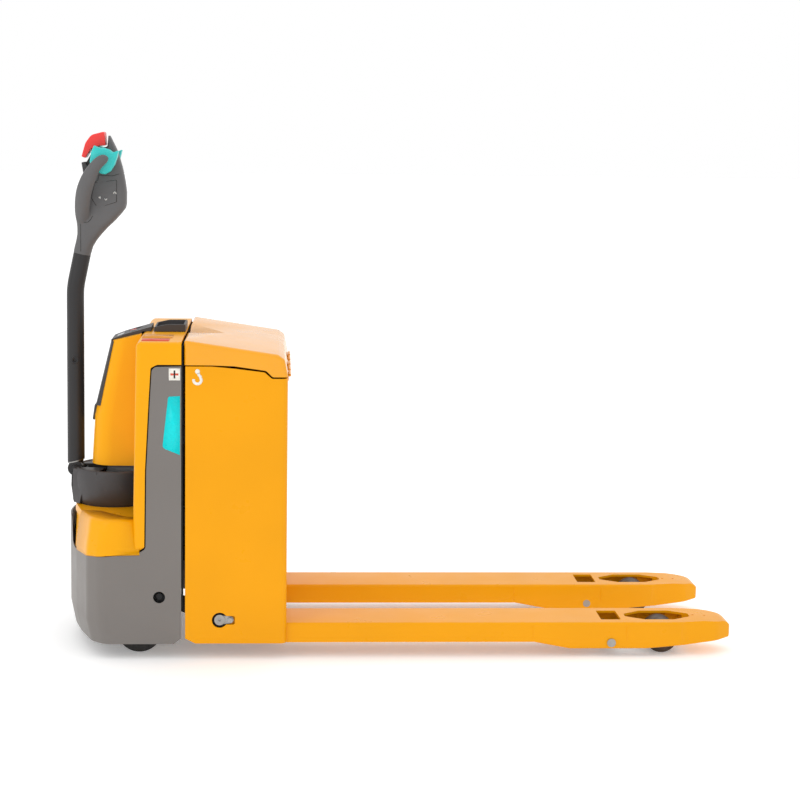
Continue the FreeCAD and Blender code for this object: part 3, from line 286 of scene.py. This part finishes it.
def add_piece(name, corners, faces, body, look, roll=0.0, smooth=0):
    """Puts a mesh drawn in millimetres on a body, with its edges rolled over."""
    mesh = bpy.data.meshes.new(name)
    mesh.from_pydata([(x * MM, y * MM, z * MM) for x, y, z in corners], [], faces)
    shape = bmesh.new()
    shape.from_mesh(mesh)
    bmesh.ops.recalc_face_normals(shape, faces=shape.faces)
    shape.to_mesh(mesh)
    shape.free()
    for polygon in mesh.polygons:
        polygon.use_smooth = True
    piece = bpy.data.objects.new(name, mesh)
    bpy.context.scene.collection.objects.link(piece)
    if roll:
        roll_edges(piece, roll * MM, 30.0)
    if smooth:
        rounder = piece.modifiers.new("rounder", "SUBSURF")
        rounder.levels = smooth
        rounder.render_levels = smooth
    dress(piece, look)
    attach(piece, body)
    return piece


def rounded(*points, steps=5):
    """Closed outline; a third number on a point rounds that corner."""
    result = []
    count = len(points)
    for index, point in enumerate(points):
        corner = Vector(point[:2])
        radius = point[2] if len(point) > 2 else 0
        if not radius:
            result.append(corner)
            continue
        back = (Vector(points[index - 1][:2]) - corner).normalized()
        ahead = (Vector(points[(index + 1) % count][:2]) - corner).normalized()
        half = back.angle(ahead) / 2
        reach = radius / math.tan(half)
        start, end = corner + back * reach, corner + ahead * reach
        middle = corner + (back + ahead).normalized() * (radius / math.sin(half))
        for step in range(steps + 1):
            arm = (start - middle).lerp(end - middle, step / steps).normalized()
            result.append(middle + arm * radius)
    return [(spot.x, spot.y) for spot in result]


def rect(x0, z0, x1, z1):
    return [(x0, z0), (x1, z0), (x1, z1), (x0, z1)]


def round_rect(x0, z0, x1, z1, radius):
    return rounded(*[(x, z, radius) for x, z in rect(x0, z0, x1, z1)])


def circle_angles(count):
    return [2 * math.pi * i / count for i in range(count)]


def loft(name, rings, body, look, roll=0.0, smooth=0):
    """Skin over closed rings that all have the same number of points."""
    count = len(rings[0])
    corners = [spot for ring in rings for spot in ring]
    faces = [tuple(range(count)), tuple(range((len(rings) - 1) * count, len(rings) * count))]
    for start in range(0, (len(rings) - 1) * count, count):
        for i in range(count):
            j = (i + 1) % count
            faces.append((start + i, start + j, start + count + j, start + count + i))
    return add_piece(name, corners, faces, body, look, roll, smooth)


def slab(name, shape, y0, y1, body, look, roll=0.0):
    """Outline in X and Z, thick from y0 to y1."""
    return loft(name, [[(x, y, z) for x, z in shape] for y in (y0, y1)], body, look, roll)


def flat_slab(name, shape, z0, z1, body, look):
    """Outline in X and Y, thick from z0 to z1."""
    return loft(name, [[(x, y, z) for x, y in shape] for z in (z0, z1)], body, look)


def spun(name, profile, x, body, look):
    """Surface turned about an upright axis on the centre plane; profile is radius and height."""
    around = circle_angles(96)
    rings = [[(x + r * math.cos(a), r * math.sin(a), z) for a in around] for r, z in profile]
    return loft(name, rings, body, look)


def turned(name, profile, x, z, steps, body, look, roll=0.0):
    """Surface turned about an axis that runs across the truck; profile is radius and Y."""
    around = circle_angles(steps)
    rings = [[(x + r * math.cos(a), y, z + r * math.sin(a)) for a in around] for r, y in profile]
    return loft(name, rings, body, look, roll)


def squircle(z, left, right, half, power, tilt):
    """Ring of a rounded box section; tilt raises it towards the front."""
    middle, reach = (left + right) / 2, (right - left) / 2
    ring = []
    for angle in circle_angles(40):
        c, s = math.cos(angle), math.sin(angle)
        x = middle + reach * math.copysign(abs(c) ** (2 / power), c)
        y = half * math.copysign(abs(s) ** (2 / power), s)
        ring.append((x, y, z - tilt * (x - middle)))
    return ring


# ---------------------------------------------------------------------- decals

# Heights of a film's two faces above the surface that it is stuck to.
FILM_UNDER, FILM_TOP = 0.1, 0.5


def labels():
    """Plain printed films: coloured side labels, hook marks, a small sticker and two on the ledge."""
    face, ledge = box_face("apron", 1, 1), box_face("hood", 1, 2)
    outline = rounded((-583.5, 670.3, 5), (-554.2, 671.6), (-554.2, 523.1), (-598, 540.9, 10))
    for name, side in SIDES:
        stuck = layer(side, face + FILM_UNDER, face + FILM_TOP)
        slab(f"side_label_{name}", outline, *stuck, "chassis", "teal_film")
        hook_mark(name, side)
    near = SIDES[0][1]
    stuck = layer(near, face + FILM_UNDER, face + FILM_TOP)
    slab("sticker", round_rect(-582, 711, -554, 741, 1), *stuck, "chassis", "white_film")
    bars = (
        ("sticker_bar_a", rect(-578, 723.5, -558, 728.5), 0.3, "red_film"),
        ("sticker_bar_b", rect(-570, 716, -566, 736), 0.5, "black_film"),
    )
    for name, shape, thick, look in bars:
        slab(name, shape, *layer(near, face + FILM_TOP, face + FILM_TOP + thick), "chassis", look)
    patches = (
        ("ledge_label_red", round_rect(-652, -262, -583, -206, 2), "red_film"),
        ("ledge_label_pale", round_rect(-655, -198, -578, -120, 2), "amber_film"),
    )
    for name, shape, look in patches:
        flat_slab(name, shape, ledge + FILM_UNDER, ledge + FILM_TOP, "chassis", look)


def hook_mark(name, side):
    """Generic sling mark: an eye with a hook hanging from it, mirrored on the far side."""
    face = box_face("battery_box", 1, 1)
    stuck = layer(side, face + FILM_UNDER, face + FILM_TOP)
    x, z = -510, 719
    eye = [(x - 1 + 6 * math.cos(a), z + 14.5 + 6 * math.sin(a)) for a in circle_angles(24)]
    path = [(x + 1, z + 10), (x + 3, z + 5), (x + 7, z + 1)]
    for step in range(13):
        angle = math.radians(45 - 20 * step)
        path.append((x - 1 + 9.5 * math.cos(angle), z - 7 + 9.5 * math.sin(angle)))
    bow = [(x + (px - x) * -side, pz) for px, pz in ribbon(path, 3.5)]
    slab(f"hook_eye_{name}", eye, *stuck, "load_frame", "white_film")
    slab(f"hook_bow_{name}", bow, *stuck, "load_frame", "white_film")


def ribbon(path, half):
    """Outline of a band that follows a path in one plane."""
    left, right = [], []
    for index, spot in enumerate(path):
        before = Vector(path[max(index - 1, 0)])
        after = Vector(path[min(index + 1, len(path) - 1)])
        along = (after - before).normalized()
        across = Vector((-along.y, along.x)) * half
        left.append(tuple(Vector(spot) + across))
        right.append(tuple(Vector(spot) - across))
    return left + right[::-1]


# ---------------------------------------------------------------------- covers

def seals():
    """Dark foam behind the cover grooves and in the gap in front of the battery box."""
    groove = [
        (-643, 262), (-641.5, 287), (-639.5, 482), (-630.5, 658), (-625.5, 738), (-612, 748), (-553, 748),
    ]
    upright, top_strip = rect(-550.8, 132, -546.5, 796), rect(-550.8, 786, -547.5, 796)
    for name, side in SIDES:
        slab(f"groove_seal_{name}", ribbon(groove, 9), *layer(side, 278.6, 280.6), "chassis", "foam")
        slab(f"gap_seal_{name}", upright, *layer(side, 262, 282.5), "chassis", "foam", 0.8)
        # The middle stays open for the lift bracket, which rises through it.
        slab(f"gap_seal_top_{name}", top_strip, *layer(side, 48, 262), "chassis", "foam", 0.8)


def neck_bowl():
    """Bulging neck cover with a rolled rim, and the cheeks that run forward beside the tiller's housing."""
    x = -735
    wall = [
        (101, 342), (102.5, 353), (105, 356.5), (108.5, 366), (112, 382), (113.6, 402), (113.2, 422),
        (111.6, 436), (109.6, 443), (106.5, 446), (103.6, 445), (101.6, 441), (100.4, 432), (20, 431),
    ]
    piece = spun("neck_bowl", wall, x, "turret", "dark_plastic")
    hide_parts("neck_cover")
    # Each level of a cheek: height, half width where it meets the bowl, half width at its front.
    foot, height, bowl = 353.2, 91, 112.5
    levels = (
        (foot, 64, 40), (357, 66, 40), (372, 70, 41), (392, 80, 42), (410, 92, 42), (428, 101, 42),
        (443.5, 104, 42),
    )
    for name, side in SIDES:
        rings = []
        for z, reach, front in levels:
            touch = x - math.sqrt(bowl ** 2 - reach ** 2)
            nose = -845 - 3 * math.sin(math.pi * (z - foot) / height)
            plan = rounded(
                (nose, side * 25, 3), (nose, side * front, 7), (touch, side * reach), (touch + 20, side * 30),
            )
            rings.append([(px, py, z) for px, py in plan])
        loft(f"housing_cheek_{name}", rings, "turret", "dark_plastic", 1.5)


def lower_covers():
    """Dished cover over the nose: rolled lip on top, round corner, lower edge laid over the grey sheet."""
    # Inset from the outermost line and height; None stands for the sloping lower edge.
    profile = (
        (60, 353.4), (26, 354.4), (18, 354.8), (13.5, 353.2), (10.4, 349.4), (8.6, 343), (6.2, 328), (3, 305),
        (0.2, 284), (-1.2, 268), (-1.4, None), (1.2, None), (1.2, 268), (2.6, 284), (5.4, 305), (8.6, 328),
        (11, 341), (20, 351.4), (60, 351.4),
    )
    for name, side in SIDES:
        paths = {inset: cover_path(inset, side) for inset, z in profile}
        rings = []
        for station, (edge_x, edge_y) in enumerate(paths[0.2]):
            drop = cover_edge(edge_x)
            rings.append([(*paths[inset][station], z or drop) for inset, z in profile])
        loft(f"lower_cover_{name}", rings, "chassis", "yellow_plastic")


def cover_path(inset, side):
    """Plan line of the cover from beside the tiller round the corner to the pillar, left open there."""
    half, nose, pillar = 285 - inset, -857 + inset, -655
    corners = rounded(
        (nose + 32, -150), (nose + 68, 35 - half, 42), (nose + 104, -half, 42), (pillar, -half),
        (pillar, 0), (nose, 0), steps=8,
    )
    return [(x, -side * y) for x, y in corners[:-2]]


def cover_edge(x):
    """Height of the cover's lower edge, just over the edge of the grey sheet."""
    line = ((-870, 250), (-840, 250), (-815, 253), (-785, 260), (-740, 265.6), (-659, 271.5), (-640, 284))
    for (x0, z0), (x1, z1) in zip(line, line[1:]):
        if x <= x1:
            return z0 + (z1 - z0) * (x - x0) / (x1 - x0)
    return line[-1][1]


def rocker_hole_shades():
    """Thin dark rings behind the keeper tabs of the rocker's pins: painted shade for the shadow in the holes
    under the tabs.
    """
    x, z, bore, rim = -454, 101, 13.9, 19.3
    for name, side in SIDES:
        profile = [(r, side * y) for r, y in ((bore, 276), (bore, 279.4), (rim, 279.4), (rim, 276))]
        turned(f"rocker_hole_shade_{name}", profile, x, z, 48, "load_frame", "foam")


# ----------------------------------------------------------------- tiller head

# Height, X of the two ends, half width, squareness and forward tilt of each section of the pod.
HEAD_STATIONS = (
    (1003.4, -846.0, -802.0, 23.0, 2.0, 0.206), (1012, -844.8, -799.5, 23.8, 2.0, 0.18),
    (1026, -841.5, -795, 24.5, 2.1, 0.12), (1040, -838.5, -786, 26, 2.3, 0.06),
    (1056, -836, -772, 28.5, 2.6, 0),
    (1074, -836, -755.5, 31, 2.9, 0), (1092, -838, -736.5, 33, 3.2, 0), (1110, -839, -720.5, 34.5, 3.6, 0),
    (1124, -838, -710, 35, 3.8, 0), (1136, -836.5, -707.5, 35, 4.0, 0), (1165, -832, -707.2, 35, 4.2, 0),
    (1190, -826, -710.5, 35, 4.2, 0), (1212, -819, -714.5, 35, 4.0, 0), (1232, -811, -719, 34.5, 3.6, 0),
    (1248, -801, -723.5, 34, 3.2, 0), (1262, -787, -727.5, 33, 3.0, 0), (1272, -771, -731, 31, 2.8, 0),
    (1281, -757.5, -735, 29, 2.6, 0), (1292, -756, -740.5, 26, 2.6, 0), (1304, -754.8, -746.5, 23, 2.6, 0),
    (1311, -754, -750, 20, 2.4, 0),
)


def head_shell():
    """Moulded pod: round at the collar, boxy beside the buttons, drawn out to a fin at the top."""
    rings = [squircle(*station) for station in HEAD_STATIONS]
    piece = loft("head_shell", rings, "tiller", "head_plastic", 1.2)
    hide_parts("tiller_head")
    collar = [squircle(z, -845.4, -802.6, 22.7, 2.0, 0.206) for z in (1001.5, 1003.6)]
    loft("head_collar", collar, "tiller", "black_rubber", 0.4)
    core = rounded(
        (-811, 1240, 2), (-796, 1267, 8), (-758, 1283, 2), (-748, 1290), (-748, 1240), (-800, 1226),
    )
    slab("head_core", core, -25, 25, "tiller", "black_rubber", 1.0)
    tab = rounded((-822, 1242, 2), (-812, 1243, 2), (-806, 1232, 4), (-806, 1210), (-817, 1213, 3))
    slab("head_tab", tab, -30, 30, "tiller", "dark_plastic", 1.5)
    lower = [
        (-793, 1104), (-799, 1094), (-805, 1088), (-822, 1086.5), (-825, 1083), (-825.2, 1050),
        (-825.1, 1011),
    ]
    seam("head_seam", lower)
    seam("head_seam_upper", [(-789, 1190), (-779, 1197), (-777, 1210), (-742, 1208), (-722, 1214)])


def head_side(x, z):
    """How far the pod's side stands from the centre plane."""
    above = next(i for i, station in enumerate(HEAD_STATIONS) if station[0] >= z)
    low, high = HEAD_STATIONS[above - 1], HEAD_STATIONS[above]
    share = (z - low[0]) / (high[0] - low[0])
    left, right, half, power = (low[i] + share * (high[i] - low[i]) for i in (1, 2, 3, 4))
    across = min(0.98, abs(x - (left + right) / 2) / ((right - left) / 2))
    return half * (1 - across ** power) ** (1 / power)


def seam(name, path):
    """Parting line that follows the pod's near side."""
    half, sunk, proud, parts = 0.75, -0.6, 0.12, 4
    fine = []
    for start, end in zip(path, path[1:]):
        fine += [Vector(start).lerp(Vector(end), step / parts) for step in range(parts)]
    fine.append(Vector(path[-1]))
    rings = []
    for index, spot in enumerate(fine):
        along = (fine[min(index + 1, len(fine) - 1)] - fine[max(index - 1, 0)]).normalized()
        across = Vector((-along.y, along.x)) * half
        ring = []
        for edge, out in ((1, sunk), (1, proud), (-1, proud), (-1, sunk)):
            place = spot + across * edge
            ring.append((place.x, -head_side(place.x, place.y) - out, place.y))
        rings.append(ring)
    loft(name, rings, "tiller", "black_rubber")


def grip_arms():
    """Flattened blades that leave the pod low down and sweep up to the travel switch."""
    # X and Z of the blade's middle, half its width, Y, and half its thickness.
    centre = (
        (-819, 1074, 13, 16, 6), (-819.3, 1092, 17.5, 23, 9), (-819.2, 1108, 19.2, 33, 12),
        (-818.8, 1124.5, 19.6, 45, 14), (-816.5, 1144, 20, 56.5, 15), (-813.3, 1163.8, 20, 67, 15),
        (-808.5, 1179, 20, 74, 15), (-803.2, 1192.4, 19.5, 80, 14.5), (-797, 1207, 18.4, 84, 14),
        (-789.4, 1220.9, 16.8, 87, 14), (-782, 1232, 15.4, 88.5, 14), (-774, 1241.3, 14.6, 89.5, 13.5),
        (-766, 1248.5, 14, 90, 13), (-760, 1251.5, 13.2, 90, 12), (-754.5, 1254, 10.8, 90, 10),
        (-750, 1255.5, 6.8, 90, 7), (-747.6, 1256.5, 2, 90, 2.5),
    )
    nodes = {"near": "head_arm_right", "far": "head_arm_left"}
    for name, side in SIDES:
        line = [Vector((x, side * y, z)) for x, z, reach, y, thick in centre]
        rings = []
        for index, (x, z, reach, y, thick) in enumerate(centre):
            along = (line[min(index + 1, len(line) - 1)] - line[max(index - 1, 0)]).normalized()
            across = Vector((along.z, 0, -along.x)).normalized()
            out = along.cross(across)
            ring = []
            for angle in circle_angles(28):
                arm = across * reach * math.cos(angle) + out * thick * math.sin(angle)
                ring.append(tuple(line[index] + arm))
            rings.append(ring)
        piece = loft(f"grip_arm_{name}", rings, "tiller", "head_plastic", smooth=1)
        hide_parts(nodes[name])


def travel_wings():
    """Two-horned thumb wings, dished between the horns."""
    shape = rounded(
        (-786.5, 1286.8, 2), (-773.5, 1281.4, 8), (-760.8, 1280.9, 10), (-745.6, 1275.8, 8),
        (-737.5, 1269, 6),
        (-722.6, 1275, 2), (-727, 1256, 10), (-733, 1238, 12), (-744, 1220, 14), (-758.3, 1212, 12),
        (-773, 1215.3, 12), (-797.5, 1241.4, 8), (-794.5, 1268.1, 8),
    )
    pivot = Vector((-761, 1248))
    # Distance from the centre plane, and the outline's size there.
    layers = (
        (36.5, 0.9), (38.5, 0.96), (42, 0.99), (50, 1.0), (60, 1.0), (66, 0.985), (70, 0.95), (71.8, 0.89),
    )
    for name, side in SIDES:
        rings = []
        for y, scale in layers:
            ring = [pivot + (Vector(spot) - pivot) * scale for spot in shape]
            rings.append([(spot.x, side * y, spot.y) for spot in ring])
        wing = loft(f"travel_wing_{name}", rings, "travel_control", "teal_plastic")
        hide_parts("travel_switch")


def button_details():
    """Button panel with its dark parting line, and a pale generic mark on each push button."""
    corners = ((-786.5, 1189), (-731.6, 1197), (-732.6, 1141), (-780, 1125.5), (-796, 1151.5))
    plate = rounded(*[(x, z, 2.5) for x, z in corners])
    slab("panel_rim", grown(plate, 1.3), -34.9, -30, "tiller", "black_rubber")
    piece = slab("panel_plate", plate, -35.25, -30, "tiller", "head_plastic", 0.3)
    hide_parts("button_panel")
    marks = (
        ("lift", -736, 1164, [(-4, -3), (0, 1), (4, -3), (4, 0.4), (0, 4.4), (-4, 0.4)]),
        ("lower", -759, 1148, [(-3.4, 2.6), (0, -0.8), (3.4, 2.6), (3.4, -0.4), (0, -3.8), (-3.4, -0.4)]),
        ("horn", -775, 1152, [(-3, -1.4), (-0.6, -1.4), (2.4, -3.6), (2.4, 3.6), (-0.6, 1.4), (-3, 1.4)]),
    )
    for name, x, z, shape in marks:
        low = box_face(f"{name}_button", 0, 1)
        mark = [(x + dx, z + dz) for dx, dz in shape]
        slab(f"button_mark_{name}", mark, low - 0.35, low + 0.2, f"{name}_push", "pale_film")


def grown(shape, width):
    """The outline moved outwards from its middle."""
    middle = sum((Vector(spot) for spot in shape), Vector((0, 0))) / len(shape)
    result = []
    for spot in shape:
        arm = Vector(spot) - middle
        result.append(tuple(middle + arm * (1 + width / arm.length)))
    return result


def tube_plug():
    """Socket screw that closes the cross hole of the tiller tube."""
    profile = ((9.3, -17), (9.3, -21.6), (8.6, -22.2), (5.6, -22.2), (5.2, -21.6), (4.6, -17.5))
    turned("tube_plug", profile, -842, 726, 36, "tiller", "dark_paint", 0.3)


def fork_seams():
    """Weld beads across the fork sides where the deeper rear plates are let in."""
    half_width, low, high = 1.6, 44, 82
    for fork in ("left", "right"):
        for corner, out, name in ((0, -1, "in"), (1, 1, "out")):
            face = box_face(f"fork_{fork}", corner, 1)
            y0, y1 = sorted((face - out * 0.3, face + out * 0.7))
            for number, x in enumerate((344, 585)):
                bead = round_rect(x - half_width, low, x + half_width, high, 1)
                slab(f"weld_{fork}_{number}_{name}", bead, y0, y1, "load_frame", "yellow_paint", 0.5)


# --------------------------------------------------------------------- studio

def studio():
    """White surround, overhead softbox and a key light from the front left."""
    world = bpy.data.worlds.new("studio_world")
    bpy.context.scene.world = world
    world.use_nodes = True
    background = world.node_tree.nodes["Background"]
    background.inputs["Color"].default_value = (1.0, 1.0, 1.0, 1.0)
    background.inputs["Strength"].default_value = 1.0
    panels = (
        ("overhead", (0.2, 0.4, 3.6), (0, 0, 0), 4.5, 3.2, 16),
        ("key", (-3.2, -2.6, 2.4), (-0.4, 0, 0.6), 1.8, 2.2, 20),
    )
    for name, spot, target, width, height, power in panels:
        light = bpy.data.lights.new(name, "AREA")
        light.shape = "RECTANGLE"
        light.size = width
        light.size_y = height
        light.energy = power
        lamp = bpy.data.objects.new(name, light)
        lamp.location = spot
        lamp.rotation_euler = (Vector(target) - Vector(spot)).to_track_quat("-Z", "Y").to_euler()
        bpy.context.scene.collection.objects.link(lamp)
    bpy.context.scene.view_settings.view_transform = "Standard"


def floor():
    """Plain pale floor, a little brighter than the light that falls on it."""
    mesh = bpy.data.meshes.new("studio_floor")
    reach = 40.0
    corners = [(x, y, 0) for x, y in rect(-reach, -reach, reach, reach)]
    mesh.from_pydata(corners, [], [(0, 1, 2, 3)])
    ground = bpy.data.objects.new("studio_floor", mesh)
    bpy.context.scene.collection.objects.link(ground)
    finish = Finish("floor_look", Roughness=0.6, Specular_IOR_Level=0.2, Emission_Strength=0.25)
    finish.shader.inputs["Emission Color"].default_value = (1, 1, 1, 1)
    finish.drive("Base Color", finish.mixed(finish.noise(3.0), (0.9, 0.9, 0.9), (0.92, 0.92, 0.92)))
    mesh.materials.append(finish.material)


def camera():
    """Long lens at the height of the tiller's head, almost square to the side."""
    spot = Vector((-0.3102, -4.9107, 1.3637))
    yaw, pitch, roll = (math.radians(a) for a in (2.743, 6.145, 0.679))
    ahead = Vector((math.sin(yaw) * math.cos(pitch), math.cos(yaw) * math.cos(pitch), -math.sin(pitch)))
    right = Vector((math.cos(yaw), -math.sin(yaw), 0))
    up = right.cross(ahead)
    x_axis = right * math.cos(roll) + up * math.sin(roll)
    y_axis = up * math.cos(roll) - right * math.sin(roll)
    lens = bpy.data.cameras.new("studio_camera")
    lens.lens = 84.30
    lens.sensor_width = 36.0
    lens.shift_x = 0.04
    lens.shift_y = -0.10
    viewer = bpy.data.objects.new("studio_camera", lens)
    viewer.matrix_world = Matrix((x_axis, y_axis, -ahead)).transposed().to_4x4()
    viewer.matrix_world.translation = spot
    bpy.context.scene.collection.objects.link(viewer)
    bpy.context.scene.camera = viewer


dress_nodes()
for part, width in SOFT_EDGES.items():
    soften(part, width)
labels()
seals()
neck_bowl()
lower_covers()
# Painted shade: dark rings for the shadow in the holes behind the rocker pins' keeper tabs.
rocker_hole_shades()
head_shell()
grip_arms()
travel_wings()
button_details()
tube_plug()
fork_seams()
studio()
floor()
camera()
